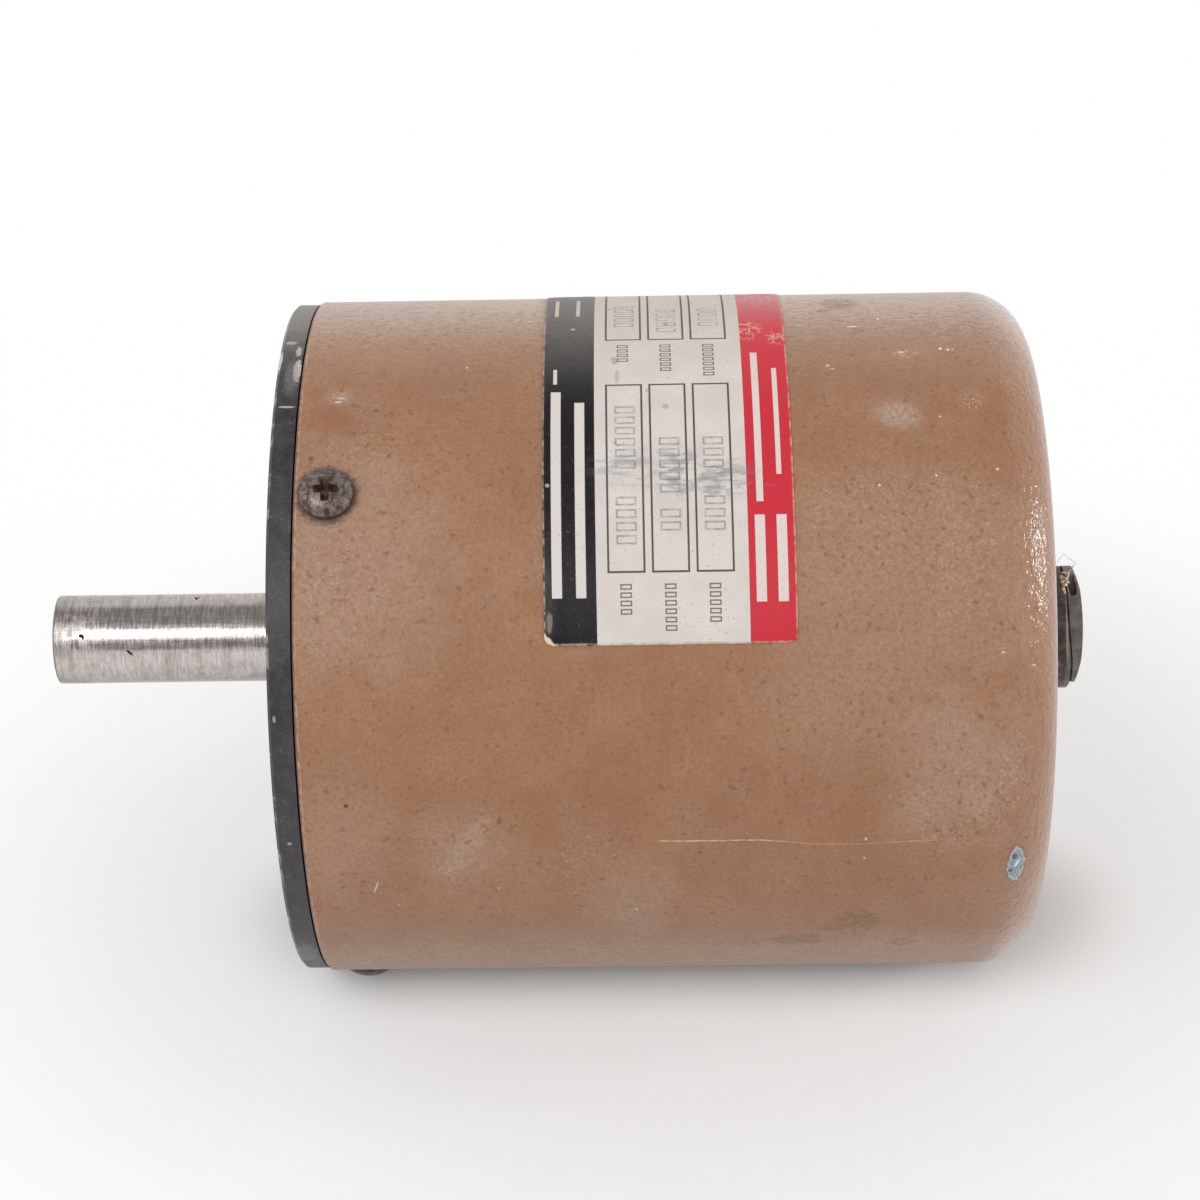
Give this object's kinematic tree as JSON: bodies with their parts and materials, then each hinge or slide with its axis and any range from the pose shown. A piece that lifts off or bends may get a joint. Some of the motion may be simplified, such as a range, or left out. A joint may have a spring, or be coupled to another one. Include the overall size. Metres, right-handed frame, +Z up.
{
  "type": "vacuum pressure transducer",
  "caption": "Capacitance pressure transducer for vacuum lines: inlet tube, base plate, drawn can with a wrapped label, cable relief, and a sealed sensor with its boards inside.",
  "frame": {"origin": "centre of the inlet tube's open end", "axes": "+X along the tube's axis into the body and on to the cable relief, +Z up as the body lies on its side, -Y the front"},
  "size_m": [0.1459, 0.0971, 0.0956],
  "materials": {
    "tube_metal": "satin, drawn",
    "base_black": "satin black",
    "can_paint": "fine textured brown enamel",
    "label_film": "satin film with black and red bands",
    "screw_steel": "dark, rusty",
    "relief_nylon": "moulded",
    "cable_jacket": "matt",
    "sensor_metal": "machined",
    "ceramic_white": "ground",
    "electrode_metal": "fired film",
    "spring_steel": "rolled",
    "seal_glass": "fused",
    "getter_metal": "porous",
    "pin_metal": "plated",
    "spacer_aluminium": "turned",
    "board_green": "glass fibre board",
    "screen_tin": "tinned",
    "coil_copper": "enamelled wire",
    "moulded_black": "moulded",
    "capacitor_sleeve": "sleeved",
    "transistor_metal": "plated",
    "resistor_body": "lacquered",
    "wire_sleeve": "extruded"
  },
  "bodies": {
    "root": {"inlet_tube": "tube_metal", "base_plate": "base_black", "housing_can": "can_paint", "data_label": "label_film", "sensor_body": "sensor_metal", "baffle_plate": "sensor_metal", "sensor_diaphragm": "sensor_metal", "sensor_ring": "sensor_metal", "electrode_disc": "ceramic_white", "electrode_films": "electrode_metal", "electrode_spring": "spring_steel", "sensor_cover": "sensor_metal", "feedthrough_eyelets": "sensor_metal", "feedthrough_glass": "seal_glass", "feedthrough_pins": "pin_metal", "getter_housing": "sensor_metal", "getter_pellet": "getter_metal", "pinch_off_tube": "sensor_metal", "sensor_spacers": "spacer_aluminium", "lower_spacers": "spacer_aluminium", "upper_spacers": "spacer_aluminium", "board_screws": "screen_tin", "lower_board": "board_green", "shield_can": "screen_tin", "drive_coil": "coil_copper", "link_header": "moulded_black", "link_pins": "pin_metal", "upper_board": "board_green", "circuit_packages": "moulded_black", "package_legs": "screen_tin", "filter_capacitors": "capacitor_sleeve", "metal_transistors": "transistor_metal", "resistor_bodies": "resistor_body", "resistor_leads": "screen_tin", "wire_posts": "pin_metal", "cable_wires": "wire_sleeve", "signal_cable": "cable_jacket", "relief_body": "relief_nylon", "relief_jaw": "relief_nylon", "cover_screw_1": "screw_steel", "cover_screw_2": "screw_steel", "cover_screw_3": "screw_steel"}
  },
  "joints": []
}
